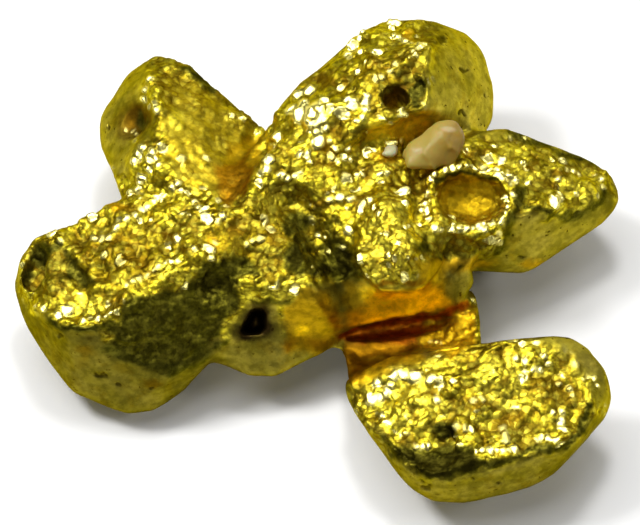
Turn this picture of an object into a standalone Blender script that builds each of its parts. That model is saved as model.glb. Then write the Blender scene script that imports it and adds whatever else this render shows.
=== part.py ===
"""A group of gold crystals grown together, with two quartz grains caught in a notch.

It lies on a table and rests on the worn flats under its crystals. Metres, +Z up,
the origin under the middle of its outline.

Places are given as the specimen shows from in front, FACE_ELEVATION above the table:
millimetres across it, millimetres up it as seen from there, and height over the table.
"""

import math

import bmesh
import bpy
from mathutils import Matrix, Vector, noise
from mathutils.bvhtree import BVHTree

MM = 0.001
FACE_ELEVATION = math.radians(60)
RIGHT = Vector((1, 0, 0))
UPWARD = Vector((0, math.sin(FACE_ELEVATION), math.cos(FACE_ELEVATION)))
OUTWARD = Vector((0, -math.cos(FACE_ELEVATION), math.sin(FACE_ELEVATION)))
FAR = 50  # further out than any crystal, in millimetres

VOXEL = 0.16
EDGE_ROUNDING = 10  # smoothing passes that wear the crystals' edges round
PIT_VOXEL = 0.1
PIT_ROUNDING = 1
LUMP_SIZE, LUMP_HEIGHT = 0.9, 0.16
KNOT_SIZE, KNOT_HEIGHT = 0.42, 0.09
MOST_TRIANGLES = 8400
QUARTZ_VOXEL = 0.22
QUARTZ_ROUNDING = 1
QUARTZ_GAP = 0.05

GOLD = (0.86, 0.66, 0.08, 1)
QUARTZ = (0.78, 0.66, 0.50, 1)

# Each crystal's corners: (across, up, height).
CRYSTALS = {
    "trunk": [
        (-4.6, 1.6, 5.1), (-2.6, 2.9, 5.6), (-1.7, 4.3, 4.9), (-0.6, 3.9, 5.9), (1.6, 3.9, 5.4),
        (3.6, 3.3, 5.0), (3.4, 0.6, 5.0), (1.0, -0.8, 4.8), (0.0, -1.2, 4.7), (-3.0, -0.5, 5.0),
        (-4.4, 0.1, 5.3), (-0.9, -1.2, 4.6), (-2.8, -1.5, 3.9), (-1.0, -2.4, 2.9), (0.5, -2.5, 2.7), (-3.0, -1.2, 0.8),
        (1.5, -1.4, 1.2), (3.0, 2.5, 0.8), (-3.0, 2.5, 0.8), (-2.0, 4.2, 2.6),
    ],
    "front_tongue": [
        (1.2, 1.8, 5.5), (1.3, -0.2, 5.5), (2.1, -1.15, 5.1), (3.5, -1.15, 5.0), (4.3, -0.2, 5.0),
        (4.3, 1.2, 5.1), (3.4, 2.6, 5.4), (2.2, 2.4, 5.5), (2.6, 0.4, 5.9), (3.0, -0.5, 5.6), (2.0, -0.6, 2.0), (4.0, 0.0, 2.0),
    ],
    "front_band": [
        (-1.0, -1.1, 4.4), (1.5, -0.9, 4.4), (3.5, -0.6, 4.4), (5.2, -0.2, 3.8), (5.4, -0.9, 3.0),
        (4.8, -1.5, 2.8), (3.4, -1.95, 2.7), (1.8, -2.2, 2.6), (0.4, -2.6, 2.4), (0.9, -3.05, 1.8),
        (-1.2, -3.0, 1.6), (0.0, -1.6, 1.4), (4.6, -0.4, 1.8), (4.0, 1.0, 1.4), (-1.0, -0.5, 1.2),
    ],
    "left_shoulder": [
        (-8.5, 1.1, 4.2), (-7.7, 1.0, 4.4), (-6.9, 1.5, 4.5), (-6.4, 2.1, 4.6), (-4.8, 2.6, 5.0),
        (-3.0, 1.8, 5.3), (-3.2, -0.3, 5.1), (-4.6, -0.1, 5.1), (-6.3, -1.5, 4.8), (-8.0, -0.5, 4.5), (-6.5, 0.4, 1.6),
        (-4.0, 1.5, 1.2), (-4.0, -0.6, 1.2), (-7.6, -0.6, 1.6),
    ],
    "left_crystal": [
        (-8.4, 1.3, 4.2), (-9.1, 1.05, 3.8), (-9.9, 0.2, 3.2), (-10.2, -0.8, 2.6), (-9.9, -1.9, 2.2),
        (-9.1, -1.7, 3.8), (-8.2, -2.4, 4.0), (-7.0, -2.4, 4.3), (-6.3, -1.5, 4.8), (-4.6, -0.3, 5.0),
        (-3.2, -1.2, 4.3), (-7.2, 0.8, 4.8), (-7.2, -3.3, 3.2), (-5.0, -3.9, 2.6), (-3.3, -3.2, 2.6), (-9.1, -3.1, 1.4),
        (-8.1, -4.5, 1.1), (-6.4, -5.2, 0.8), (-5.4, -5.1, 0.8), (-4.4, -4.5, 1.1), (-3.7, -3.6, 1.7),
        (-7.9, -3.2, -0.3), (-5.8, -4.3, -0.3), (-4.4, -2.9, -0.3), (-7.0, -1.4, -0.3), (-8.9, -1.8, 0.5),
    ],
    "upper_left_crystal": [
        (-5.3, 7.0, 4.0), (-5.5, 6.3, 5.0), (-5.1, 4.8, 5.4), (-5.2, 3.0, 5.3), (-6.4, 6.3, 3.5),
        (-7.3, 4.8, 3.1), (-7.3, 3.9, 2.9), (-6.95, 3.35, 3.0), (-4.4, 6.6, 4.3), (-3.0, 5.6, 4.1),
        (-1.7, 4.35, 4.0), (-6.45, 2.5, 3.9), (-6.2, 1.4, 4.6), (-3.2, 1.6, 5.0), (-2.0, 2.4, 4.7),
        (-6.2, 3.8, -0.3), (-4.4, 4.4, -0.3), (-3.2, 3.0, -0.3), (-5.8, 1.8, -0.3),
    ],
    "upper_arm": [
        (-1.7, 4.2, 4.8), (-1.35, 5.2, 5.0), (-0.3, 6.2, 5.2), (1.1, 7.4, 5.3), (2.2, 8.1, 5.2),
        (3.9, 8.1, 5.0), (0.2, 4.9, 6.3), (2.2, 6.6, 6.8), (3.7, 7.1, 6.6), (3.7, 5.1, 6.5),
        (2.0, 4.2, 6.3), (-0.8, 3.4, 5.7), (5.0, 7.75, 4.3), (5.75, 6.9, 4.1), (6.05, 5.7, 3.8),
        (5.95, 4.6, 3.4), (5.3, 3.9, 3.3), (2.0, 3.4, 4.6), (1.0, 4.6, 1.8), (4.5, 6.0, 1.4),
        (5.0, 4.6, 1.2), (2.5, 3.0, 1.5),
    ],
    "right_crystal": [
        (4.0, 3.6, 5.0), (5.2, 4.3, 4.7), (6.2, 4.5, 4.4), (7.4, 4.05, 4.1), (6.9, 1.5, 4.9),
        (3.6, 1.6, 5.0), (4.4, 0.6, 4.9), (9.4, 3.3, 3.5), (10.05, 2.8, 3.2), (10.25, 2.0, 3.0),
        (9.75, 1.3, 2.6), (9.0, 2.0, 4.0), (8.5, 0.55, 2.2), (7.4, -0.3, 1.9), (6.9, -0.5, 1.9),
        (5.2, -0.45, 2.3), (5.4, 0.3, -0.3), (7.6, 0.7, -0.3), (7.7, 2.0, -0.3), (5.0, 2.2, -0.3),
        (6.3, 3.6, 1.0), (9.2, 2.2, 1.2),
    ],
    "front_crystal": [
        (0.85, -3.9, 3.0), (2.2, -3.1, 3.5), (5.6, -2.7, 4.2), (7.2, -2.55, 4.2), (8.2, -2.45, 3.9),
        (8.8, -2.55, 3.8), (9.2, -2.9, 3.7), (9.7, -3.6, 3.5), (9.3, -5.2, 3.5), (8.6, -6.1, 3.4), (7.5, -6.55, 3.4),
        (4.4, -7.3, 3.2), (3.3, -7.1, 3.1), (1.6, -5.6, 3.0), (9.95, -4.5, 2.6), (9.7, -5.2, 2.2),
        (8.9, -6.1, 1.9), (7.9, -7.2, 1.7), (7.0, -7.7, 1.6), (4.8, -8.1, 1.5), (3.9, -8.05, 1.6),
        (3.1, -7.6, 1.8), (1.0, -4.6, 2.0), (3.4, -7.0, -0.3), (7.2, -6.9, -0.3), (8.2, -5.6, -0.3),
        (3.6, -5.2, -0.3),
    ],
    "front_neck": [
        (0.9, -2.5, 1.9), (5.4, -1.0, 2.3), (5.5, -2.75, 3.2), (0.95, -3.7, 2.5), (1.3, -4.4, 2.8),
        (5.7, -3.6, 3.5), (1.4, -4.9, 0.9), (5.4, -4.6, 0.9), (1.9, -3.0, 0.3),
        (5.1, -2.4, 0.5), (1.5, -1.4, 0.6), (5.0, -0.8, 0.6),
    ],
    "front_knob": [
        (-3.9, -3.3, 1.6), (-3.1, -3.15, 1.9), (-2.2, -3.95, 1.6), (-1.3, -3.95, 1.6), (-0.3, -3.3, 1.9),
        (0.4, -3.1, 2.0), (-3.9, -1.6, 4.2), (-0.9, -1.4, 3.8), (-3.9, -2.6, 3.0), (-1.0, -2.8, 2.8),
        (-2.2, -2.8, 0.3), (-0.8, -2.4, 0.4), (-1.0, -1.5, 0.4), (-3.5, -1.5, 0.8),
    ],
    "saddle": [
        (2.8, 3.9, 4.5), (4.2, 4.4, 4.3), (5.4, 4.3, 4.2), (5.4, 0.0, 4.0), (3.4, -0.6, 4.3),
        (3.0, 0.4, 1.0), (5.2, -0.1, 1.2), (5.0, 3.4, 1.0), (3.0, 3.4, 1.0),
    ],
}

# Hollows sunk square to the surface: (across, up, half width, half length, depth, turn in degrees).
PITS = {
    "crater": (5.1, 2.0, 1.25, 0.9, 0.8, 0),
    "arm_hole": (2.65, 5.45, 0.46, 0.4, 1.1, 30),
    "arm_hole_mouth": (3.0, 5.6, 0.75, 0.75, 0.18, 0),
    "upper_left_pit": (-6.1, 4.6, 0.62, 0.6, 0.36, 0),
    "left_pit": (-8.0, -0.4, 0.36, 0.66, 0.4, 35),
    "left_dish": (-9.35, -0.25, 0.5, 0.85, 0.4, 0),
    "front_pit": (4.2, -5.95, 0.6, 0.45, 0.28, 0),
}

# Clefts cut straight in from the face: (across, up, half width, half length, half depth, turn).
CLEFTS = {
    "neck_cleft": (2.75, -2.25, 1.95, 0.36, 0.9, 9),
}

# Holes with flat sides, narrowing as they go in from the face: depth and outline as (across, up).
SHAFTS = {
    "knob_hole": (1.5, [(-2.15, -1.4), (-1.6, -1.4), (-1.45, -2.35), (-1.75, -2.65), (-2.8, -2.65), (-2.6, -2.3)]),
}
SHAFT_NARROWING = 0.45

# Raised edges and sunk folds along the face: (half width, height, line of (across, up)).
RELIEF = {
    "crater_rim": (0.34, 0.26, [
        (6.55, 2.0), (6.2, 2.8), (5.1, 3.1), (4.0, 2.8), (3.65, 2.0), (4.0, 1.15), (5.1, 0.85),
        (6.2, 1.2), (6.55, 2.0),
    ]),
    "upper_left_ridge": (0.3, 0.22, [(-5.45, 5.9), (-5.2, 4.9)]),
    "upper_left_hook": (0.3, 0.2, [(-6.1, 3.4), (-5.7, 3.8), (-5.2, 3.1)]),
    "left_rim": (0.35, 0.2, [(-9.7, -1.0), (-9.6, -0.2), (-9.2, 0.5), (-8.5, 0.8)]),
    "left_lip": (0.35, 0.25, [(-9.3, -1.6), (-8.5, -2.0), (-7.9, -2.2), (-7.1, -2.15), (-6.5, -1.6)]),
    "front_rim": (0.35, 0.14, [
        (1.8, -5.5), (2.7, -6.2), (3.5, -6.85), (4.3, -7.0), (5.5, -6.65), (7.5, -6.25), (8.5, -5.8),
        (8.95, -5.0), (9.1, -4.0),
    ]),
    "arm_edge": (0.3, 0.16, [(3.85, 7.3), (3.7, 6.9), (3.5, 6.2), (3.45, 5.4)]),
    "body_valley": (0.95, -0.7, [(-0.6, 1.9), (0.0, 1.0), (0.5, 0.1), (0.8, -0.9)]),
    "left_valley": (0.7, -0.35, [(-3.4, -0.9), (-2.6, -0.2), (-2.0, 0.3)]),
    "neck_dip": (0.9, -0.35, [(1.0, -3.1), (3.2, -2.7), (5.4, -2.2)]),
    "tongue_side": (0.45, -0.3, [(3.5, 3.0), (3.6, 1.4)]),
    "tongue_foot": (0.4, -0.15, [(3.6, 1.4), (4.1, 0.4), (4.2, -0.4)]),
    "tongue_swell": (0.9, 0.35, [(2.3, 1.6), (2.8, 0.6), (3.0, -0.2)]),
    "upper_left_foot": (0.7, -0.45, [(-1.9, 4.0), (-2.4, 3.2), (-2.9, 2.3)]),
    "arm_foot": (0.5, -0.25, [(1.6, 3.9), (2.6, 4.2), (3.6, 4.5)]),
    "upper_left_waist": (0.5, -0.2, [(-6.3, 2.6), (-5.0, 2.3), (-4.0, 2.1)]),
    "left_waist": (0.5, -0.2, [(-7.9, 0.9), (-7.2, 0.2), (-6.9, -0.6)]),
}

# Crystal faces left smooth, as outlines over the face: (across, up).
SMOOTH_FACES = {
    "upper_left_side": [
        (-5.4, 7.2), (-5.65, 6.3), (-5.45, 5.2), (-5.45, 4.2), (-5.9, 3.9), (-6.2, 3.4), (-6.3, 2.9),
        (-7.5, 3.0), (-7.5, 5.0), (-6.2, 7.0),
    ],
    "arm_end": [
        (4.0, 8.3), (3.85, 7.2), (3.6, 6.3), (3.55, 5.2), (3.3, 4.6), (4.2, 4.0), (6.2, 4.2),
        (6.5, 6.0), (6.0, 8.0),
    ],
    "right_flank": [
        (5.6, 0.4), (6.4, 0.9), (6.6, 1.6), (7.6, 1.45), (9.0, 1.85), (9.7, 2.2), (10.3, 1.8),
        (8.5, -0.2), (6.5, -0.9), (5.0, -0.6),
    ],
    "left_flank": [
        (-10.4, -1.0), (-9.75, -1.5), (-8.8, -2.1), (-8.2, -2.55), (-7.3, -2.7), (-7.1, -3.2),
        (-5.0, -3.85), (-3.9, -3.0), (-3.2, -2.5), (-3.0, -3.6), (-5.0, -5.5), (-8.0, -5.0),
        (-10.5, -3.0),
    ],
    "band": [
        (-3.2, -3.2), (-2.9, -2.7), (-1.5, -2.6), (-1.3, -1.7), (-0.3, -1.3), (1.2, -1.0), (2.2, -1.15),
        (3.4, -1.15), (4.6, -0.6), (4.9, 0.2), (5.6, -0.2), (5.4, -1.2), (4.6, -1.6), (3.4, -1.9),
        (0.6, -2.4), (0.6, -3.4), (-2.0, -4.3),
    ],
    "front_side": [
        (1.0, -5.0), (1.6, -5.7), (2.6, -6.5), (3.5, -7.15), (4.3, -7.3), (5.5, -6.95), (7.5, -6.5),
        (8.7, -6.0), (9.15, -5.1), (9.3, -4.0), (9.0, -3.2), (8.0, -2.9), (8.0, -2.4), (10.0, -2.5),
        (10.3, -5.0), (8.0, -8.4), (3.0, -8.4), (0.8, -5.5),
    ],
}

# The quartz grains' corners: (across, up, height).
QUARTZ_GRAINS = {
    "quartz_grain_large": [
        (2.85, 3.55, 5.6), (3.3, 4.15, 5.8), (4.0, 4.6, 5.9), (4.75, 4.7, 5.7), (4.95, 4.1, 5.6),
        (4.85, 3.55, 5.4), (4.4, 3.1, 5.3), (3.6, 2.9, 5.4), (3.05, 3.0, 5.5), (3.6, 3.7, 5.95),
        (4.3, 4.1, 6.0), (3.2, 3.6, 4.0), (4.2, 4.2, 3.9), (4.6, 3.8, 4.0), (3.7, 3.3, 4.1),
    ],
    "quartz_grain_small": [
        (2.1, 3.5, 5.5), (2.25, 3.8, 5.6), (2.7, 3.9, 5.6), (2.8, 3.7, 5.6), (2.75, 3.4, 5.5),
        (2.4, 3.35, 5.5), (2.3, 3.5, 4.6), (2.7, 3.7, 4.6), (2.5, 3.6, 5.75),
    ],
}


def place(across, up, height):
    """A point of the face as a world position in metres."""
    y = (up - height * math.cos(FACE_ELEVATION)) / math.sin(FACE_ELEVATION)
    return Vector((across, y, height)) * MM


def clear_scene():
    for obj in list(bpy.data.objects):
        bpy.data.objects.remove(obj)


def collection(name):
    made = bpy.data.collections.new(name)
    bpy.context.scene.collection.children.link(made)
    return made


def material(name, colour, roughness, metallic):
    made = bpy.data.materials.new(name)
    made.use_nodes = True
    shader = made.node_tree.nodes["Principled BSDF"]
    shader.inputs["Base Color"].default_value = colour
    shader.inputs["Roughness"].default_value = roughness
    shader.inputs["Metallic"].default_value = metallic
    made.diffuse_color = colour
    return made


def hull_into(form, corners):
    """Adds the convex crystal with these corners to a bmesh."""
    points = [form.verts.new(corner) for corner in corners]
    made = bmesh.ops.convex_hull(form, input=points)
    inner = {v for v in made["geom_interior"] + made["geom_unused"] if isinstance(v, bmesh.types.BMVert)}
    bmesh.ops.delete(form, geom=list(inner), context="VERTS")


def object_from(form, name, home):
    mesh = bpy.data.meshes.new(name)
    bmesh.ops.recalc_face_normals(form, faces=form.faces)
    form.to_mesh(mesh)
    form.free()
    made = bpy.data.objects.new(name, mesh)
    home.objects.link(made)
    return made


def settle(obj):
    """Makes the modifiers' result the object's own mesh."""
    bpy.context.view_layer.update()
    graph = bpy.context.evaluated_depsgraph_get()
    mesh = bpy.data.meshes.new_from_object(obj.evaluated_get(graph))
    obj.modifiers.clear()
    obj.data = mesh


def remesh(obj, voxel, passes):
    """One even skin over all that overlaps, then worn smooth."""
    skin = obj.modifiers.new("skin", "REMESH")
    skin.mode = "VOXEL"
    skin.voxel_size = voxel * MM
    wear = obj.modifiers.new("wear", "SMOOTH")
    wear.factor = 0.5
    wear.iterations = passes
    settle(obj)


def gold_blank(home):
    form = bmesh.new()
    for corners in CRYSTALS.values():
        hull_into(form, [place(*corner) for corner in corners])
    gold = object_from(form, "gold_crystal_group", home)
    remesh(gold, VOXEL, EDGE_ROUNDING)
    return gold


def surface_under(tree, across, up):
    """The outermost point over this place on the face, and the surface's direction there."""
    start = (RIGHT * across + UPWARD * up + OUTWARD * FAR) * MM
    point, normal, _, _ = tree.ray_cast(start, -OUTWARD)
    return point, normal


def ellipsoid_into(form, centre, facing, half_sizes, turn):
    """Adds an ellipsoid whose third axis points the way it faces."""
    side = (RIGHT - facing * RIGHT.dot(facing)).normalized()
    axes = Matrix((side, facing.cross(side), facing)).transposed().to_4x4()
    spin = Matrix.Rotation(math.radians(turn), 4, "Z")
    size = Matrix.Diagonal([half * MM for half in half_sizes] + [1])
    bmesh.ops.create_uvsphere(
        form, u_segments=24, v_segments=16, radius=1,
        matrix=Matrix.Translation(centre) @ axes @ spin @ size,
    )


def shaft_into(form, tree, depth, outline):
    """Adds a shaft with this outline over the face, from just outside the surface to this deep in it."""
    corners = [Vector(corner) for corner in outline]
    middle = sum(corners, Vector((0, 0))) / len(corners)
    surface = surface_under(tree, *middle)[0].dot(OUTWARD)
    points = []
    for share, rise in ((1, depth), (SHAFT_NARROWING, -depth)):
        for corner in corners:
            spot = middle + (corner - middle) * share
            points.append((RIGHT * spot.x + UPWARD * spot.y + OUTWARD * rise) * MM + OUTWARD * surface)
    hull_into(form, points)


def pit_cutter(tree, home):
    """All the hollows as one cutter."""
    form = bmesh.new()
    for across, up, wide, long, depth, turn in PITS.values():
        point, normal = surface_under(tree, across, up)
        ellipsoid_into(form, point, normal, (wide, long, depth), turn)
    for across, up, wide, long, depth, turn in CLEFTS.values():
        point, _ = surface_under(tree, across, up)
        ellipsoid_into(form, point, OUTWARD, (wide, long, depth), turn)
    for depth, outline in SHAFTS.values():
        shaft_into(form, tree, depth, outline)
    cutter = object_from(form, "pit_cutter", home)
    cutter.hide_render = True
    cutter.display_type = "WIRE"
    return cutter


def cut(obj, cutter):
    step = obj.modifiers.new("cut", "BOOLEAN")
    step.operation = "DIFFERENCE"
    step.solver = "EXACT"
    step.use_self = True
    step.object = cutter
    settle(obj)


def on_face(point):
    """A point's (across, up) on the face, in millimetres."""
    return Vector((point.dot(RIGHT), point.dot(UPWARD))) / MM


def ramp(value, low, high):
    share = min(max((value - low) / (high - low), 0), 1)
    return share * share * (3 - 2 * share)


def distance_to_line(spot, line):
    """The shortest distance from a spot to a line of corners."""
    nearest = math.inf
    for start, end in zip(line, line[1:]):
        start, end = Vector(start), Vector(end)
        along = end - start
        share = min(max((spot - start).dot(along) / along.length_squared, 0), 1)
        nearest = min(nearest, (spot - start - along * share).length)
    return nearest


def within(spot, outline):
    """Whether a spot lies inside a closed outline, by counting the edges it crosses."""
    crossings = 0
    for (x0, y0), (x1, y1) in zip(outline, outline[1:] + outline[:1]):
        if (y0 > spot.y) != (y1 > spot.y):
            crossings += spot.x < x0 + (spot.y - y0) * (x1 - x0) / (y1 - y0)
    return crossings % 2 == 1


def relief_at(spot):
    height = 0
    for half_width, rise, line in RELIEF.values():
        height += rise * (1 - ramp(distance_to_line(spot, line), 0, half_width))
    return height


def carve_relief(obj):
    """Ridges, folds and lumps on the side the crystals show."""
    form = bmesh.new()
    form.from_mesh(obj.data)
    form.normal_update()
    moves = []
    for vertex in form.verts:
        shown = ramp(vertex.normal.dot(OUTWARD), 0.05, 0.4)
        spot = on_face(vertex.co)
        rough = shown
        if any(within(spot, outline) for outline in SMOOTH_FACES.values()):
            rough = 0.15 * shown
        place_mm = vertex.co / MM
        lumps = LUMP_HEIGHT * noise.noise(place_mm / LUMP_SIZE)
        knots = KNOT_HEIGHT * noise.noise(place_mm / KNOT_SIZE + Vector((31, 7, 5)))
        moves.append(shown * relief_at(spot) + max(rough, 0.12) * (lumps + knots))
    for vertex, move in zip(form.verts, moves):
        vertex.co += vertex.normal * move * MM
    form.to_mesh(obj.data)
    form.free()


def thin_out(obj):
    obj.data.calc_loop_triangles()
    fewer = obj.modifiers.new("fewer", "DECIMATE")
    fewer.ratio = MOST_TRIANGLES / len(obj.data.loop_triangles)
    settle(obj)


def wear_flats(obj):
    """Cuts the underside level where the crystals rest."""
    form = bmesh.new()
    form.from_mesh(obj.data)
    everything = form.verts[:] + form.edges[:] + form.faces[:]
    cut_made = bmesh.ops.bisect_plane(
        form, geom=everything, plane_co=(0, 0, 0), plane_no=(0, 0, 1), clear_inner=True,
    )
    edges = [g for g in cut_made["geom_cut"] if isinstance(g, bmesh.types.BMEdge)]
    bmesh.ops.holes_fill(form, edges=edges)
    bmesh.ops.triangulate(form, faces=form.faces)
    bmesh.ops.recalc_face_normals(form, faces=form.faces)
    form.to_mesh(obj.data)
    form.free()


def quartz_grain(name, corners, home):
    form = bmesh.new()
    hull_into(form, [place(*corner) for corner in corners])
    grain = object_from(form, name, home)
    remesh(grain, QUARTZ_VOXEL, QUARTZ_ROUNDING)
    return grain


def quartz_pocket(grain, home):
    """A cutter for the hollow a grain sits in, wider than the grain by QUARTZ_GAP all round."""
    cutter = bpy.data.objects.new("pocket_of_" + grain.name, grain.data.copy())
    home.objects.link(cutter)
    wider = cutter.modifiers.new("wider", "DISPLACE")
    wider.mid_level = 0
    wider.strength = QUARTZ_GAP * MM
    settle(cutter)
    cutter.hide_render = True
    cutter.display_type = "WIRE"
    return cutter


def centre(objects):
    """Moves all the meshes so the origin is under the middle of the outline."""
    corners = [vertex.co for obj in objects for vertex in obj.data.vertices]
    middle_x = (min(c.x for c in corners) + max(c.x for c in corners)) / 2
    middle_y = (min(c.y for c in corners) + max(c.y for c in corners)) / 2
    for obj in objects:
        obj.data.transform(Matrix.Translation((-middle_x, -middle_y, 0)))


def main():
    clear_scene()
    parts = collection("gold_crystal_specimen")
    cutters = collection("cutters")
    gold = gold_blank(parts)
    carve_relief(gold)
    tree = BVHTree.FromObject(gold, bpy.context.evaluated_depsgraph_get())
    cut(gold, pit_cutter(tree, cutters))
    remesh(gold, PIT_VOXEL, PIT_ROUNDING)
    thin_out(gold)
    wear_flats(gold)
    grains = []
    for name, corners in QUARTZ_GRAINS.items():
        grain = quartz_grain(name, corners, parts)
        cut(gold, quartz_pocket(grain, cutters))
        grains.append(grain)
    gold.data.materials.append(material("gold", GOLD, 0.3, 1.0))
    for grain in grains:
        grain.data.materials.append(material(grain.name, QUARTZ, 0.35, 0.0))
    centre([gold] + grains)


main()
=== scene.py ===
"""The gold crystal specimen's visible surface, materials, floor, lights and camera, in the CAD's frame.

Places are given as the specimen shows from in front, FACE_ELEVATION above the table: (across, up), in
millimetres. Relief is worked out in millimetres. The scales of the textures are in cells to a metre.
"""
import itertools
import math
from collections import namedtuple

import bmesh
import bpy
import numpy as np
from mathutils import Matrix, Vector


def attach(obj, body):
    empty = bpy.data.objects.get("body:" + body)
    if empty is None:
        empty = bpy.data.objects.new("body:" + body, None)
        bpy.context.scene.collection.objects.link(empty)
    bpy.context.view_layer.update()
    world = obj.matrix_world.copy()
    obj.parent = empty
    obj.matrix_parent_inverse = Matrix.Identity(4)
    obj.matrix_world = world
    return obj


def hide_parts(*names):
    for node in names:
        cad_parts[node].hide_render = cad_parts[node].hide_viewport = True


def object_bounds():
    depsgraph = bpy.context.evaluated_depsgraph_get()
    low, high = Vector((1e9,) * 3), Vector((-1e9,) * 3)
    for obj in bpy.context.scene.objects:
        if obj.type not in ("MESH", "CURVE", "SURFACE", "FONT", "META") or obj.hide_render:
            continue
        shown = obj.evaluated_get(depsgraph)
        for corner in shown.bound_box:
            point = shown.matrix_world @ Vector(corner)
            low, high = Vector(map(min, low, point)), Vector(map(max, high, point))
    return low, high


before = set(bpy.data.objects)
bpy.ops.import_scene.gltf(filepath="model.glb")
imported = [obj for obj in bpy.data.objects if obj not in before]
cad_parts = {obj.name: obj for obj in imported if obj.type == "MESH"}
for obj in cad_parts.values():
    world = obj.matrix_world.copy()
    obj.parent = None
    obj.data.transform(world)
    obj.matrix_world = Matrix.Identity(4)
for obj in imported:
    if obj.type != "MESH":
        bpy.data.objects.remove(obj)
cad_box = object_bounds()
scene = bpy.context.scene

MM = 0.001
FACE_ELEVATION = math.radians(60)
RIGHT = np.array((1, 0, 0))
UPWARD = np.array((0, math.sin(FACE_ELEVATION), math.cos(FACE_ELEVATION)))
OUTWARD = np.array((0, -math.cos(FACE_ELEVATION), math.sin(FACE_ELEVATION)))
FACE_ORIGIN = np.array((-0.018, 1.914, 0))  # where the face's (0, 0) at height 0 lies in the CAD's frame, mm

SKIN_VOXEL = 0.05
GOLD_WEAR = 20  # smoothing passes over the gold's skin before its relief
QUARTZ_WEAR = 3
GOLD_TRIANGLES = 196000

# A studio light: the way to it, its distance and width in metres, and its own brightness.
Light = namedtuple("Light", "way distance width radiance")
LIGHTS = {
    "key": Light((-0.55, 0.15, 0.85), 0.16, 0.040, 34),
    "overhead": Light((0.05, 0.30, 0.95), 0.18, 0.035, 31),
    "right": Light((0.9, -0.1, 0.6), 0.20, 0.05, 9.0),
    "front": Light((-0.15, -0.75, 0.8), 0.22, 0.05, 7.0),
    "back": Light((0.35, 0.8, 0.5), 0.35, 0.30, 1.2),
    "soft": Light((-0.2, 0.2, 1.0), 0.35, 0.35, 2.1),
}
LIGHTS_CENTRE = Vector((0, 0, 0.003))  # what the lights point at, in metres
AMBIENT = 0.38
BACKDROP = 0.98  # how bright the surroundings show behind the floor
FLOOR_RADIUS = 3.0

EYE_DISTANCE = 0.6
SENSOR_WIDTH = 36.0
VIEW_WIDTH = 64 / 3  # mm across the view, at the specimen
VIEW_MIDDLE = (2 / 15, -1 / 12)  # the place in the middle of the view
VIEW_HEIGHT = 3.0  # the height over the table that the camera aims at, mm

# Layers of smooth noise: (size of a bump, height, seed), mm.
ETCHED_SWELL = [(1.5, 0.12, 1), (0.7, 0.09, 4)]
WORN_SWELL = [(1.4, 0.05, 21), (0.45, 0.014, 22)]
QUARTZ_SWELL = [(0.5, 0.03, 31), (0.2, 0.012, 32)]
RAGGED_ACROSS = [(0.5, 0.16, 41), (0.22, 0.1, 42)]
RAGGED_UP = [(0.5, 0.16, 43), (0.22, 0.1, 44)]
ROUGH_LIMIT = [(0.4, 0.1, 45)]
BEAD_WARP = [[(0.5, 0.1, seed)] for seed in (11, 12, 13)]

# Smooth noise that says where something is: (size of a patch, seed).
CALM_PLACES = (0.9, 14)
ROUGH_BEHIND = (2.5, 3)

# Round-topped beads: size, seed, the share with a bright facet, and their least and added height, in mm.
Beads = namedtuple("Beads", "size seed sparkle least added")
LARGE_BEADS = Beads(size=0.38, seed=5, sparkle=0.08, least=0.03, added=0.10)
FINE_BEADS = Beads(size=0.22, seed=9, sparkle=0.05, least=0.02, added=0.04)
BEAD_REACH = 0.78  # how far a bead reaches from its middle, in sizes
FACET_START = (0.25, 0.55)  # the dome heights over which a bead's facet begins
FACET_LEAN = 0.25  # how far a bead's facet may turn away from mirroring its light
FACET_LIFT = 0.3  # the most a facet may lift or sink, in sizes
LEAST_COSINE = 0.5  # between a facet and its surface, so that none gets too steep

# Beads in rows, in radii: their spacing, how far they may stray, and the most their facets may lift.
ROW_SPACING = 1.75
ROW_STRAY = 0.5
ROW_FACET_LIFT = 0.65
ROW_SEED = 51
KEY_LIT_ROWS = 0.6  # the share of these beads that mirror the key light, not the overhead one
ROWS_SHOWN = 0.3  # how far a point has to face the front to take part in a row

SPECK_DEPTH = 0.05
ETCHED_DEPTH = 0.05  # how far the etched faces lie under the worn ones
# Painted light: the worn metal is made brighter or darker, face by face, for how light falls on it.
PAINTED_WORN_LIGHT = 0.9  # brightness of the worn metal where no face says otherwise

# Quartz: the size of its broken faces, how steep they are, and the most they lift or sink, in mm.
BREAK_SIZE = 0.9
BREAK_SEED = 33
BREAK_STEEPNESS = 0.35
BREAK_LIFT = 0.08
QUARTZ_GROWTH = 0.06  # how far a grain's skin is grown, to fill its pocket
QUARTZ_SOFTENING = 12  # smoothing passes after a grain's relief
QUARTZ_WAIST = (3.4, 4.35)  # the place where the large grain is drawn in
WAIST_EDGE = (0.1, 0.75)
WAIST_DEPTH = 0.17
DEEP_EDGE = (1.7, 2.7)  # across less half the way up, where a grain turns to its deep colour
# A painted highlight on the large grain: its middle and half size (across, up) in mm, and its share.
HIGHLIGHT_SPOT = (4.4, 4.31)
HIGHLIGHT_HALF_SIZE = (0.26, 0.1)
HIGHLIGHT_SHARE = 0.7

# What the random numbers are mixed from.
CELL_PRIMES = (374761393, 668265263, 2147483647)
SEED_STEP = 974711
MIXING_PRIMES = (1274126177, 2246822519, 3266489917)
MIXING_STEP = 7919
RANDOM_BITS = 0xFFFFFF
CHANCE_SEED = 77

# How softly a look begins: a patch and a line in shares of their half size, an outline in mm.
PATCH_EDGE = (0.65, 1.2)
LINE_EDGE = (0.5, 1.5)
OUTLINE_EDGE = 0.12

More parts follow.
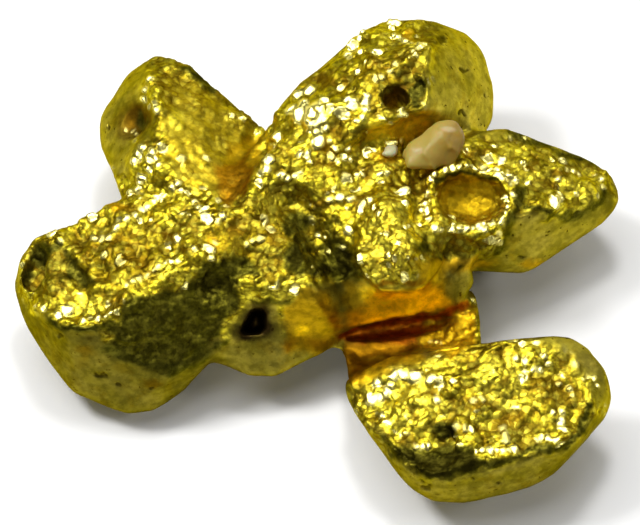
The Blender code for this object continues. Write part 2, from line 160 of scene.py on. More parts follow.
# The gold's colours, over the whole specimen.
ETCHED_GOLD = ((0.72, 0.61, 0.03), (0.50, 0.40, 0.015))
ETCHED_FILM = (0.30, 0.24, 0.012)
# Worn metal, darker than the etched: partly painted shade, for faces turned down and away from the lights.
WORN_GOLD = ((0.28, 0.23, 0.02), (0.40, 0.325, 0.042))
WORN_FILM = (0.25, 0.17, 0.008)
WORN_PORES = (0.09, 0.06, 0.004)
# Painted shade: darker brown in the hollows between beads and in low places.
HOLLOW_SHADE = (0.17, 0.09, 0.003)
LIT_BEADS = (0.95, 0.83, 0.08)
DIM_BEADS = (0.22, 0.135, 0.004)
# Painted shade: darker in the gaps between the texture's beads.
BEAD_GAP_SHADE = (0.14, 0.07, 0.003)
# Painted highlight: the pale colour of facets that mirror a light.
GLINTS = (1.0, 0.89, 0.26)

# Quartz colours: a grain's own and, towards its right, its deep one.
LARGE_QUARTZ = ((0.70, 0.53, 0.095), (0.54, 0.33, 0.016))
SMALL_QUARTZ = ((0.78, 0.73, 0.42), (0.7, 0.6, 0.3))
# The painted highlight's colour.
QUARTZ_HIGHLIGHT_COLOUR = (0.95, 0.8, 0.42)
QUARTZ_PALER = 1.15  # how much brighter its clouds are

# What a material's shader is set to where no texture feeds it.
GOLD_SHADER = {"Metallic": 1.0, "Specular Tint": (0.8, 0.7, 0.15, 1)}
QUARTZ_SHADER = {
    "IOR": 1.544,
    "Transmission Weight": 0.5,
    "Subsurface Weight": 0.4,
    "Subsurface Scale": 0.0006,
}
FLOOR_SHADER = {"Base Color": (0.93, 0.93, 0.93, 1), "Roughness": 0.9, "Specular IOR Level": 0.1}

# Roughness, from the smoothest places to the roughest, and what dullness adds.
ETCHED_ROUGHNESS = (0.32, 0.45)
WORN_ROUGHNESS = (0.38, 0.54)
GLINT_ROUGHNESS = 0.3
DULL_ROUGHNESS = 0.12
QUARTZ_ROUGHNESS = (0.4, 0.6)

# The beads in the gold's texture: their scale, and what their slope, dome and grain add to the bump.
BEAD_SCALE = 5000
BEAD_WOBBLE = 0.00018
BEAD_SLOPE = 0.3
BEAD_DOME = -0.00004
GRAIN_HEIGHT = 0.00003
WORN_BUMP = 0.15
ETCHED_BUMP = 0.62
CALM_LEAST = 0.3  # how calm the calm places of every etched face are, where satin ones are 1
CALM_BEADS = 0.4  # what is left of the beads where it is calmest

# A field of beads at some points: a bead's dome, 0 to 1, and height in mm; the facet's share and lift in mm.
BeadField = namedtuple("BeadField", "dome height facet tilt")
# A face worn smooth: its painted light, how much brighter or darker its metal is made for how light falls on
# it, how softly it meets the rough, in mm, and its outline.
WornFace = namedtuple("WornFace", "tone edge outline")
# How the metal looks in some places: its tint and the tint's share; how far it is dull, from 0 to 1; whether
# it is painted bounced light and shade, which fills its relief; a second tint, in specks; and the places:
# patches (across, up, half width, half height), lines (half width, corners) and outlines, in mm.
Look = namedtuple(
    "Look", "tint share dull stained specks patches lines outlines", defaults=(1.0, False, None, (), (), ())
)

# Faces worn smooth, each with its painted light.
SMOOTH_FACES = {
    "upper_left_side": WornFace(tone=1.08, edge=0.2, outline=[
        (-5.4, 7.2), (-5.65, 6.3), (-5.9, 5.9), (-5.75, 5.2), (-5.45, 4.8), (-5.35, 4.2), (-5.9, 3.9),
        (-6.2, 3.4), (-6.3, 2.9), (-7.5, 3.0), (-7.5, 5.0), (-6.2, 7.0),
    ]),
    "arm_end": WornFace(tone=1.4, edge=0.35, outline=[
        (4.1, 8.3), (3.95, 7.2), (3.7, 6.3), (3.65, 5.2), (3.3, 4.7), (4.2, 4.0), (6.2, 4.2), (6.5, 6.0),
        (6.0, 8.0),
    ]),
    "right_flank": WornFace(tone=1.03, edge=0.2, outline=[
        (6.2, 0.9), (6.6, 1.6), (7.6, 1.45), (8.4, 1.35), (9.2, 1.8), (9.7, 2.2), (10.3, 1.8), (8.5, -0.2),
        (6.5, -0.9), (4.9, -0.6), (4.9, 0.1), (5.9, 0.3),
    ]),
    "left_flank": WornFace(tone=0.55, edge=0.15, outline=[
        (-10.4, -0.9), (-9.85, -1.35), (-8.9, -1.95), (-8.2, -2.3), (-7.4, -2.3), (-6.9, -2.8),
        (-6.0, -3.3), (-4.8, -3.5), (-3.9, -2.8), (-3.2, -2.4), (-3.0, -3.6), (-5.0, -5.5), (-8.0, -5.0),
        (-10.5, -3.0),
    ]),
    "knob": WornFace(tone=0.72, edge=0.15, outline=[
        (-3.4, -3.3), (-2.9, -2.5), (-2.3, -1.4), (-1.5, -1.3), (-1.2, -1.9), (-1.0, -2.8), (-0.9, -4.3),
        (-3.0, -4.3),
    ]),
    "band": WornFace(tone=0.95, edge=0.15, outline=[
        (-1.2, -2.0), (-1.0, -1.5), (0.1, -0.8), (1.4, -0.7), (2.2, -0.9), (3.1, -0.8), (3.9, 0.1),
        (4.9, 0.2), (5.6, -0.2), (5.4, -1.2), (4.6, -1.6), (3.4, -1.9), (0.6, -2.4), (0.6, -3.9),
        (-1.2, -4.3),
    ]),
    "neck_front": WornFace(tone=0.7, edge=0.25, outline=[
        (0.8, -2.4), (3.2, -2.5), (3.4, -3.0), (4.4, -3.2), (3.0, -3.45), (2.1, -3.75), (1.3, -4.35),
        (0.8, -3.6),
    ]),
    "front_side": WornFace(tone=0.72, edge=0.15, outline=[
        (1.0, -5.0), (1.6, -5.7), (2.6, -6.6), (3.3, -7.1), (4.1, -7.35), (5.0, -7.05), (6.0, -6.85),
        (7.5, -6.45), (8.7, -6.05), (9.1, -5.2), (10.0, -5.0), (8.0, -8.4), (3.0, -8.4), (0.8, -5.5),
    ]),
    "front_rim": WornFace(tone=1.1, edge=0.25, outline=[
        (6.6, -2.5), (7.2, -2.75), (8.1, -3.0), (8.7, -3.45), (9.1, -4.1), (9.4, -4.9), (10.1, -4.8),
        (10.2, -3.0), (8.5, -2.2),
    ]),
}

# How the metal looks in places: first the looks that the beads shade, then those that lie over the beads.
BEADED_LOOKS = {
    "shade": Look(tint=(0.34, 0.25, 0.007), share=0.78, dull=0.8, patches=[
        (-6.5, 0.1, 1.7, 1.1), (2.4, 6.1, 1.0, 0.8), (-2.5, 0.7, 1.4, 0.9), (-0.2, 6.1, 0.9, 0.4),
    ]),
    "satin": Look(tint=(0.43, 0.31, 0.013), share=0.82, dull=0.7, patches=[
        (5.1, 2.0, 1.0, 0.7),
    ], outlines=[
        [(-5.1, 6.3), (-4.0, 6.0), (-2.8, 5.1), (-1.7, 4.1), (-2.2, 3.0), (-3.4, 2.3), (-4.4, 2.6),
         (-5.1, 3.6), (-5.1, 5.0)],
    ]),
    # Painted highlight: lighter patches where clusters of beads catch the light.
    "bright": Look(tint=(0.9, 0.76, 0.05), share=0.8, dull=0.0, patches=[
        (-1.1, -0.9, 0.7, 0.35), (-7.9, -1.5, 0.9, 0.35), (-9.2, -1.65, 0.35, 0.15), (-6.2, -0.6, 0.6, 0.3),
        (-4.9, -0.4, 0.35, 0.3), (0.1, 4.5, 0.8, 0.9), (1.2, 7.0, 0.5, 0.3), (3.1, 7.3, 0.5, 0.25),
        (-4.6, 4.7, 0.3, 0.4), (0.9, 5.3, 0.4, 0.4), (-7.0, 1.0, 0.4, 0.2), (6.1, 3.1, 0.8, 0.4),
        (2.3, 2.9, 0.8, 0.4), (7.8, 1.9, 0.4, 0.2), (9.2, 2.3, 0.4, 0.5), (7.4, 2.7, 0.6, 0.3),
        (8.4, 2.4, 0.4, 0.3),
    ], outlines=[
        [(1.4, -4.5), (2.1, -3.8), (3.0, -3.5), (4.1, -3.9), (4.3, -4.6), (4.4, -5.1), (3.6, -5.7),
         (2.9, -6.0), (2.3, -5.6)],
        [(5.2, -3.4), (6.0, -3.1), (6.9, -3.6), (7.3, -4.2), (6.9, -4.9), (6.0, -4.9), (5.2, -4.3)],
        [(1.5, 0.2), (1.9, 1.5), (2.6, 2.4), (3.3, 1.6), (3.4, 0.6), (2.9, -0.4), (2.1, -0.7)],
    ]),
    "brown": Look(tint=(0.16, 0.095, 0.004), share=0.82, patches=[
        (6.5, -5.3, 0.45, 0.25), (5.6, -5.5, 0.25, 0.2), (7.75, -4.4, 0.35, 0.25), (5.1, -4.75, 0.35, 0.15),
        (5.2, -3.6, 0.25, 0.2), (5.8, -4.7, 0.3, 0.2), (7.0, -6.2, 0.4, 0.2), (-6.2, 0.25, 0.5, 0.3),
        (-6.1, 0.85, 0.25, 0.15), (-7.6, 0.1, 0.25, 0.2), (0.3, 3.3, 0.35, 0.2), (1.7, 2.9, 0.3, 0.3),
        (-1.3, 0.7, 0.35, 0.25), (-5.1, 5.9, 0.2, 0.5), (7.6, 2.45, 0.5, 0.2), (0.5, 5.9, 0.3, 0.15),
        (2.8, 6.9, 0.35, 0.15), (1.5, 1.9, 0.3, 0.2), (3.5, 2.4, 0.2, 0.4), (1.9, 6.6, 0.25, 0.3),
        (-9.3, -0.6, 0.3, 0.6), (-6.7, -1.3, 0.35, 0.3), (-6.3, 1.7, 0.5, 0.2), (8.0, 3.0, 0.4, 0.15),
        (-3.2, -0.9, 0.4, 0.25), (-1.3, 0.0, 0.35, 0.5), (0.8, 4.3, 0.3, 0.4), (3.0, -6.0, 0.35, 0.2),
        (8.4, -5.9, 0.3, 0.15), (-7.3, -0.7, 0.3, 0.25), (-6.08, 4.6, 0.65, 0.6), (-1.6, -0.3, 0.35, 0.5),
        (0.3, 1.85, 0.45, 0.2), (-2.6, 1.1, 0.4, 0.3), (3.3, 6.5, 0.3, 0.35), (2.9, 6.1, 0.35, 0.3),
        (0.1, 6.1, 0.35, 0.2), (1.0, 6.1, 0.3, 0.2), (-5.4, 1.1, 0.35, 0.2), (-4.4, 0.4, 0.3, 0.25),
        (-5.3, -4.1, 0.35, 0.15), (-7.6, -3.0, 0.4, 0.15), (4.3, -5.5, 0.3, 0.2), (3.3, -5.2, 0.25, 0.2),
        (6.3, -4.1, 0.3, 0.15), (5.5, 3.6, 0.6, 0.15), (7.1, 3.1, 0.3, 0.2), (-5.9, 0.0, 0.3, 0.18),
        (-6.6, 0.75, 0.35, 0.15), (-7.2, 0.45, 0.3, 0.18), (-4.8, 1.0, 0.3, 0.18), (-7.9, 0.5, 0.25, 0.15),
        (-8.2, -1.2, 0.3, 0.12), (3.8, -4.5, 0.4, 0.12), (4.7, -5.6, 0.3, 0.2),
    ], lines=[
        (0.1, [(8.1, -3.2), (8.4, -3.9), (8.9, -4.6)]),
    ], outlines=[
        [(-9.8, 0.2), (-9.2, 0.6), (-8.5, 0.4), (-8.2, -0.2), (-8.3, -0.9), (-9.0, -1.3), (-9.7, -0.9)],
        [(4.4, -4.5), (5.6, -4.5), (5.7, -5.0), (4.7, -5.2)],
        [(5.9, -5.2), (6.3, -5.0), (7.0, -5.0), (7.1, -5.7), (6.5, -5.9), (5.9, -5.8)],
        [(7.1, -3.7), (8.1, -3.8), (8.8, -4.6), (8.9, -5.2), (8.5, -5.0), (7.7, -4.7), (7.2, -4.2)],
    ]),
    # Partly painted shade, beside the arm's hole and in the upper crystal's dish; elsewhere olive metal.
    "olive": Look(tint=(0.2, 0.165, 0.01), share=0.85, patches=[
        (-5.2, 6.6, 0.7, 0.3), (-6.0, 4.8, 0.45, 0.35), (-4.2, 1.2, 0.4, 0.3), (-2.3, 1.9, 0.4, 0.2),
        (2.9, 7.0, 0.5, 0.2), (9.0, 3.2, 0.8, 0.2), (7.2, 2.35, 0.35, 0.2), (4.3, -6.1, 0.4, 0.3),
        (6.9, -5.6, 0.9, 0.3), (4.6, -4.9, 0.5, 0.3), (-1.6, 0.2, 0.6, 0.35), (3.2, 5.6, 0.5, 0.8),
        (-5.5, 4.2, 0.3, 0.6), (9.7, 2.0, 0.3, 0.6), (3.9, 7.6, 0.4, 0.5), (2.3, 5.6, 0.3, 0.4),
        (6.0, 4.1, 0.9, 0.2), (3.1, 6.2, 0.5, 0.5), (2.5, 4.9, 0.4, 0.15), (-6.9, -0.2, 0.35, 0.2),
        (-5.7, 0.6, 0.3, 0.2), (-6.7, 0.5, 0.3, 0.15), (-5.0, 0.4, 0.3, 0.2),
    ], lines=[
        (0.14, [(1.1, -4.6), (1.7, -5.4), (2.3, -6.0)]),
        (0.12, [(-4.6, 6.35), (-3.6, 5.8), (-2.4, 4.9), (-1.8, 4.4)]),
    ], outlines=[
        [(-9.8, -0.6), (-9.3, 0.5), (-8.6, 0.5), (-8.2, -0.1), (-8.0, -0.9), (-8.9, -1.2), (-9.5, -1.1)],
        [(3.4, 0.4), (4.1, 0.9), (5.0, 0.7), (6.1, 0.6), (5.6, 0.2), (4.6, 0.1), (3.9, -0.2)],
    ]),
}
# The looks over the beads: mostly painted bounced light and shade, with real specks and stains.
SHADE_BOUNCE_AND_STAINS = {
    # Painted reflection: the orange of light bounced between the crystals.
    "warm": Look(tint=(0.55, 0.31, 0.006), share=0.7, patches=[
        (-3.45, 0.6, 0.2, 0.25), (0.4, 3.7, 0.25, 0.25), (2.2, 3.4, 0.5, 0.2), (-6.6, 1.8, 0.35, 0.15),
        (7.3, -0.2, 0.4, 0.15), (3.1, 7.55, 0.25, 0.15), (5.0, -0.1, 1.0, 0.25),
    ]),
    # Painted reflection and shade: orange-brown bounced light where crystals meet.
    "ochre": Look(tint=(0.44, 0.27, 0.005), share=0.88, stained=True, outlines=[
        [(-1.1, -1.6), (-0.2, -0.95), (0.4, -1.1), (0.8, -2.4), (0.3, -3.0), (-1.0, -3.1)],
        [(-3.1, 3.1), (-2.9, 4.0), (-2.2, 4.2), (-1.7, 4.2), (-1.8, 3.6), (-2.2, 2.9)],
        [(0.9, -2.9), (1.0, -4.2), (1.6, -4.1), (2.4, -3.55), (3.6, -3.3), (3.5, -2.9), (2.0, -2.7)],
        [(0.8, -0.8), (1.0, -2.2), (1.5, -2.2), (1.5, -0.8)],
        [(3.3, -0.3), (3.5, 0.1), (4.5, 0.0), (4.3, -1.0), (3.5, -1.0)],
    ]),
    # Painted reflection: bright orange bounced light under the arm, which lies in shade.
    "shelf": Look(tint=(0.86, 0.61, 0.016), share=0.88, stained=True, outlines=[
        [(1.7, 3.9), (1.7, 4.5), (2.6, 4.7), (3.6, 4.8), (3.9, 4.3), (3.3, 4.0), (2.6, 4.0)],
    ]),
    # Painted reflection: the bright orange of bounced light on the band.
    "glow": Look(tint=(1.0, 0.64, 0.008), share=0.9, stained=True, patches=[
        (-0.5, -2.3, 0.25, 0.25),
    ], outlines=[
        [(1.5, -1.0), (2.8, -1.0), (4.2, -1.0), (4.5, -1.35), (3.6, -1.75), (2.3, -2.05), (1.5, -2.1)],
    ]),
    # Painted reflection: orange bounced light in the neck between the crystals.
    "neck": Look(tint=(0.78, 0.47, 0.01), share=0.85, outlines=[
        [(3.2, -2.3), (3.6, -2.1), (5.2, -1.7), (5.3, -2.8), (4.6, -3.2), (3.6, -3.1)],
    ]),
    "umber": Look(tint=(0.15, 0.075, 0.003), share=0.92, patches=[
        (-5.95, 4.7, 0.42, 0.5),
    ]),
    # Painted reflection and shade: the crater's orange-brown inside.
    "crater": Look(tint=(0.4, 0.25, 0.005), share=0.9, patches=[
        (5.1, 2.1, 1.15, 0.85),
    ]),
    # Painted shade and reflection: redder, darker crevices and bases of crystals.
    "bounce_shade": Look(tint=(0.3, 0.13, 0.003), share=0.85, stained=True, patches=[
        (3.3, -0.85, 0.5, 0.1), (2.2, -0.8, 0.5, 0.12), (-0.9, -2.9, 0.15, 0.3), (0.6, -2.0, 0.12, 0.4),
    ], lines=[
        (0.14, [(3.4, -2.0), (4.3, -1.85), (5.1, -1.5)]), (0.25, [(1.3, -3.1), (1.1, -3.8)]),
    ], outlines=[
        [(-3.5, 3.2), (-2.3, 3.3), (-2.2, 2.7), (-2.6, 2.1), (-3.0, 1.85), (-3.3, 2.4)],
        [(1.0, -2.7), (0.9, -3.5), (1.3, -4.1), (1.9, -3.4), (2.7, -3.2), (3.4, -3.0), (3.5, -2.6),
         (2.0, -2.6)],
    ]),
    # Painted shade and reflection: the red-brown of the crevice under the band.
    "red": Look(tint=(0.42, 0.1, 0.004), share=0.9, stained=True, patches=[
        (2.45, -2.4, 0.95, 0.3),
    ], lines=[
        (0.2, [(0.9, -2.55), (2.4, -2.4), (3.4, -2.05)]), (0.13, [(3.4, -2.0), (4.3, -1.75), (5.1, -1.4)]),
    ], outlines=[
        [(1.0, -2.45), (2.3, -2.0), (3.5, -1.8), (3.6, -2.1), (3.3, -2.7), (2.3, -2.8), (1.1, -2.65)],
    ]),
    # Mostly painted shade: shadows under edges, the shaded valley and facet, with a few dark contours.
    "dark": Look(tint=(0.03, 0.031, 0.003), share=0.9, specks=(0.1, 0.092, 0.01), patches=[
        (0.6, 0.1, 0.6, 0.85), (-0.6, 1.2, 0.5, 0.45), (-0.5, 0.2, 0.55, 0.75), (-2.7, -0.3, 0.9, 0.4),
        (0.9, -0.5, 0.6, 0.45), (-9.3, 0.15, 0.35, 0.35), (-9.55, -0.5, 0.2, 0.3),
        (-7.95, -0.45, 0.45, 0.3), (8.6, 1.45, 0.6, 0.2), (0.2, -0.2, 0.5, 0.4), (4.2, -5.7, 0.4, 0.3),
        (3.6, 0.55, 0.25, 0.25), (4.7, -0.15, 0.12, 0.12), (-5.85, 4.6, 0.2, 0.35), (3.35, 5.5, 0.3, 0.45),
    ], lines=[
        (0.2, [(-9.3, 0.4), (-8.9, 0.3), (-8.5, 0.45)]),
        (0.13, [(-8.9, -1.95), (-8.2, -2.3), (-7.3, -2.4), (-6.6, -2.1)]),
        (0.13, [(5.0, -6.95), (6.0, -6.7), (7.3, -6.35), (8.2, -6.15), (8.8, -5.75), (9.1, -4.9)]),
        (0.14, [(6.85, 2.4), (6.7, 1.75), (6.4, 1.2), (6.2, 0.5), (5.9, 0.35)]),
        (0.1, [(7.0, 1.7), (8.0, 1.5), (8.8, 1.6)]), (0.12, [(9.0, 1.6), (9.6, 2.2)]),
        (0.12, [(-4.4, 6.35), (-3.4, 5.7), (-3.8, 5.9)]), (0.12, [(6.4, 4.3), (7.6, 3.85), (9.2, 3.35)]),
        (0.12, [(-3.0, -2.7), (-3.9, -3.3), (-4.7, -3.75)]),
        (0.1, [(-2.2, -1.3), (-1.4, -1.45), (-0.9, -1.3)]), (0.08, [(4.1, 2.7), (5.0, 2.85), (6.1, 2.7)]),
    ], outlines=[
        [(-6.5, -1.3), (-5.5, -1.2), (-4.3, -1.0), (-3.7, 0.0), (-2.9, 0.1), (-2.6, -0.7), (-2.6, -1.5),
         (-3.0, -2.2), (-3.6, -2.9), (-4.6, -3.8), (-5.7, -3.6), (-6.3, -3.3), (-7.2, -3.1), (-6.6, -2.5),
         (-7.5, -2.35), (-6.4, -2.1)],
        [(-8.45, 0.35), (-8.1, 0.1), (-7.4, -0.6), (-7.2, -0.9), (-7.7, -0.95), (-8.2, -0.5)],
        [(1.9, -5.6), (2.6, -6.1), (3.2, -6.1), (3.7, -6.2), (4.5, -6.2), (5.0, -6.2), (5.4, -6.6),
         (5.8, -6.75), (5.0, -7.05), (4.1, -7.35), (3.3, -7.1), (2.4, -6.5)],
    ]),
    "speck": Look(tint=(0.05, 0.035, 0.003), share=0.8, dull=0.0, patches=[
        (-8.45, -2.55, 0.1, 0.09), (-7.2, -3.85, 0.12, 0.1), (-6.6, -4.25, 0.1, 0.08),
        (-5.4, -4.2, 0.1, 0.07), (4.9, 6.3, 0.09, 0.09), (5.65, 5.5, 0.09, 0.13), (4.9, 4.85, 0.06, 0.13),
        (4.2, 7.35, 0.16, 0.16), (6.9, 0.1, 0.12, 0.08), (3.75, -7.5, 0.15, 0.1), (6.2, -7.3, 0.08, 0.06),
        (5.1, -7.3, 0.06, 0.06), (-7.0, 4.5, 0.06, 0.15), (4.3, 0.15, 0.08, 0.08),
    ]),
    # Painted shade: the darkest places, deep in the valley and under the front crystal's edge.
    "deep_shade": Look(tint=(0.022, 0.018, 0.002), share=0.85, patches=[
        (0.9, -0.1, 0.3, 0.6), (-0.6, 0.25, 0.25, 0.5), (0.3, -0.4, 0.3, 0.25), (4.3, -5.75, 0.3, 0.2),
    ], outlines=[
        [(2.4, -6.2), (3.0, -6.3), (3.8, -6.4), (4.6, -6.4), (5.2, -6.5), (5.5, -6.8), (4.9, -7.05),
         (4.1, -7.3), (3.3, -7.05), (2.6, -6.6)],
    ]),
    # Painted shade: the inside of the arm's hole made dark.
    "hole": Look(tint=(0.12, 0.065, 0.005), share=1.0, outlines=[
        [(2.2, 5.4), (2.6, 5.8), (3.0, 5.8), (3.0, 5.45), (2.75, 5.1), (2.6, 4.95), (2.4, 5.15)],
    ]),
    # Painted shade: the inside of the knob's hole made dark.
    "pit": Look(tint=(0.04, 0.025, 0.006), share=1.0, outlines=[
        [(-2.15, -1.4), (-1.6, -1.4), (-1.45, -2.3), (-1.75, -2.6), (-2.8, -2.55), (-2.5, -1.95)],
    ]),
}

# Beads in rows, with facets turned to a light and a painted highlight colour:
# (radius of a bead, the line it sits along), mm.
BEAD_ROWS = [
    (0.15, [(4.0, 1.1), (3.75, 1.4), (3.65, 1.9), (3.75, 2.5), (4.0, 2.85)]),
    (0.13, [(4.35, 3.0), (5.1, 3.15), (5.9, 3.05)]),
    (0.16, [(6.0, 3.1), (6.4, 3.0), (6.6, 2.6), (6.6, 2.2)]),
    (0.14, [(6.35, 1.8), (6.1, 1.35), (5.6, 1.15), (5.0, 1.0), (4.5, 1.0)]),
    (0.16, [(5.95, 0.65), (6.1, 0.9)]),
    (0.18, [(-5.5, 6.15), (-5.7, 5.75), (-5.75, 5.4)]),
    (0.12, [(-5.4, 5.25), (-5.3, 4.95)]),
    (0.15, [(-6.05, 3.35), (-5.8, 3.75), (-5.5, 3.55), (-5.25, 3.15)]),
    (0.16, [(-5.85, 2.75), (-5.9, 2.25)]),
    (0.14, [(-6.3, 1.3), (-5.8, 1.6), (-5.3, 2.0)]),
    (0.13, [(-4.6, 2.6), (-4.5, 2.3)]),
    (0.17, [(-3.95, 1.9), (-3.75, 1.5), (-3.6, 1.3)]),
    (0.17, [(-3.3, 1.3), (-3.05, 1.5)]),
    (0.15, [(-7.4, 0.75), (-6.9, 0.85), (-6.7, 1.1)]),
    (0.14, [(-8.5, 0.6)]),
    (0.14, [(-4.6, 0.8)]),
    (0.15, [(-2.3, 0.5), (-1.9, 0.7)]),
    (0.14, [(-1.8, 1.5), (-1.7, 1.3)]),
    (0.15, [(-3.5, 0.1), (-3.4, 0.6)]),
    (0.2, [(-8.5, -1.75), (-8.2, -1.6)]),
    (0.13, [(-9.4, -1.5), (-9.1, -1.65)]),
    (0.12, [(-7.7, -2.0), (-7.2, -1.9), (-6.8, -1.7)]),
    (0.12, [(-5.6, -0.4), (-5.2, -0.2), (-4.6, -0.1)]),
    (0.13, [(-6.3, -0.8), (-5.9, -0.5)]),
    (0.2, [(-1.3, 4.1), (-1.45, 3.7), (-1.6, 3.35), (-1.65, 3.0)]),
    (0.13, [(-1.3, 2.85), (-0.9, 2.7), (-0.5, 2.9)]),
    (0.15, [(-0.6, 5.55), (-0.2, 5.6)]),
    (0.3, [(-0.85, 5.15), (-0.4, 5.2), (0.0, 5.1)]),
    (0.32, [(-0.55, 4.8), (-0.2, 4.65), (-0.05, 4.3), (0.1, 4.0)]),
    (0.25, [(-0.15, 4.95), (0.1, 4.65)]),
    (0.14, [(0.25, 4.65), (0.35, 4.4)]),
    (0.15, [(0.45, 3.95), (0.65, 3.65), (0.5, 3.45)]),
    (0.15, [(1.1, 3.7)]),
    (0.14, [(1.35, 4.65), (1.55, 4.75)]),
    (0.14, [(1.65, 5.1), (1.7, 5.5)]),
    (0.15, [(2.0, 6.0), (2.2, 6.15)]),
    (0.15, [(2.5, 6.3), (2.6, 6.6)]),
    (0.16, [(1.05, 6.9), (1.2, 7.1)]),
    (0.13, [(2.6, 7.5), (3.2, 7.35), (3.6, 7.2)]),
    (0.13, [(3.3, 7.0), (3.6, 7.3)]),
    (0.14, [(2.15, 2.85), (2.2, 2.5)]),
    (0.18, [(0.5, 1.95), (0.85, 2.1), (1.15, 2.0)]),
    (0.15, [(1.1, 1.0)]),
    (0.14, [(0.9, 0.4)]),
    (0.12, [(0.37, 0.3)]),
    (0.13, [(1.75, 2.0), (1.5, 1.7)]),
    (0.12, [(0.1, 0.85), (0.3, 0.8)]),
    (0.26, [(2.5, -3.9), (2.9, -3.8), (3.3, -3.9), (3.8, -4.05)]),
    (0.19, [(2.0, -4.1), (2.4, -4.3)]),
    (0.17, [(1.8, -4.65), (2.3, -4.45)]),
    (0.16, [(2.2, -5.2), (2.4, -5.4)]),
    (0.16, [(4.1, -4.65)]),
    (0.12, [(5.2, -4.65), (5.5, -4.6)]),
    (0.14, [(6.6, -3.25), (6.9, -3.35), (6.9, -3.6)]),
    (0.13, [(7.7, -3.4)]),
    (0.13, [(7.4, -3.6), (7.2, -3.55)]),
    (0.14, [(8.1, -4.1), (8.4, -4.2), (8.55, -4.5)]),
    (0.13, [(9.2, -3.9), (9.35, -4.2)]),
    (0.16, [(7.9, -5.1), (8.2, -5.35), (8.25, -5.6)]),
    (0.15, [(6.2, -5.5), (6.3, -5.9)]),
    (0.13, [(5.3, -6.35), (5.8, -6.3), (6.2, -6.3), (6.6, -6.25)]),
    (0.13, [(7.3, -6.0), (7.9, -5.9)]),
    (0.14, [(4.6, -5.55), (5.2, -5.6)]),
    (0.12, [(3.3, -6.15), (3.7, -6.15)]),
    (0.09, [(-6.3, 4.4), (-6.0, 4.2)]),
    (0.1, [(3.8, -2.7), (4.1, -2.75)]),
    (0.14, [(8.1, 2.2), (8.15, 2.0)]),
    (0.13, [(8.05, 2.7)]),
    (0.12, [(8.3, 3.0), (8.8, 2.95)]),
    (0.13, [(9.55, 2.75), (9.6, 2.45), (9.4, 2.2)]),
    (0.12, [(6.4, 4.1)]),
]
LOOKS = {**BEADED_LOOKS, **SHADE_BOUNCE_AND_STAINS}


def smoothstep(values, low, high):
    """Rises softly from 0 at low to 1 at high."""
    share = np.clip((values - low) / (high - low), 0, 1)
    return share * share * (3 - 2 * share)


def hashed(cells, seed):
    """Three even random numbers in 0..1 for each whole-number cell."""
    state = seed * SEED_STEP
    for k, prime in enumerate(CELL_PRIMES):
        state = state + cells[..., k] * prime
    out = []
    for prime in MIXING_PRIMES:
        mixed = (state ^ (state >> 13)) * prime
        mixed = mixed ^ (mixed >> 16)
        out.append((mixed & RANDOM_BITS) / (RANDOM_BITS + 1.0))
        state = mixed + MIXING_STEP
    return np.stack(out, axis=-1)


def value_noise(points, size, seed):
    """Smooth noise in -1..1 whose bumps are about this size."""
    p = points / size
    base = np.floor(p).astype(np.int64)
    f = p - base
    f = f * f * (3 - 2 * f)
    total = np.zeros(len(points))
    for corner in itertools.product((0, 1), repeat=3):
        x, y, z = (f[:, k] if far else 1 - f[:, k] for k, far in enumerate(corner))
        total += x * y * z * hashed(base + corner, seed)[:, 0]
    return total * 2 - 1


def layered_noise(points, layers):
    """The sum of some layers of smooth noise, in mm."""
    return sum(value_noise(points, size, seed) * height for size, height, seed in layers)


def grains(points, size, seed):
    """For the nearest grain: how far its middle is, in sizes, three random numbers and the offset in mm."""
    p = points / size
    base = np.floor(p).astype(np.int64)
    nearest = np.full(len(points), np.inf)
    chance = np.zeros((len(points), 3))
    offset = np.zeros((len(points), 3))
    for step in itertools.product((-1, 0, 1), repeat=3):
        cell = base + step
        away = p - (cell + hashed(cell, seed))
        distance = np.sqrt((away ** 2).sum(1))
        nearer = distance < nearest
        nearest = np.where(nearer, distance, nearest)
        offset[nearer] = away[nearer]
        chance[nearer] = hashed(cell[nearer], seed + CHANCE_SEED)
    return nearest, chance, offset * size


def face_spots(points):
    """(across, up) in mm of points in mm."""
    p = points - FACE_ORIGIN
    return np.stack((p @ RIGHT, p @ UPWARD), axis=1)


def segment_distance(spots, a, b):
    """How far each spot lies from the straight line between two corners, in mm."""
    along = b - a
    share = np.clip(((spots - a) @ along) / (along @ along), 0, 1)
    return np.linalg.norm(spots - a - share[:, None] * along, axis=1)


def line_distance(spots, line):
    """How far each spot lies from a line with corners, in mm; infinite for a single corner."""
    corners = np.array(line, float)
    nearest = np.full(len(spots), np.inf)
    for a, b in zip(corners, corners[1:]):
        nearest = np.minimum(nearest, segment_distance(spots, a, b))
    return nearest


def inside_depth(spots, outline):
    """How far inside a closed outline each spot lies, in mm; negative outside."""
    corners = np.array(outline, float)
    nearest = np.full(len(spots), np.inf)
    crossings = np.zeros(len(spots), int)
    for a, b in zip(corners, np.roll(corners, -1, axis=0)):
        nearest = np.minimum(nearest, segment_distance(spots, a, b))
        spans = (a[1] > spots[:, 1]) != (b[1] > spots[:, 1])
        with np.errstate(divide="ignore", invalid="ignore"):
            cross_x = a[0] + (spots[:, 1] - a[1]) * (b[0] - a[0]) / (b[1] - a[1])
        crossings += spans & (spots[:, 0] < cross_x)
    return np.where(crossings % 2 == 1, nearest, -nearest)


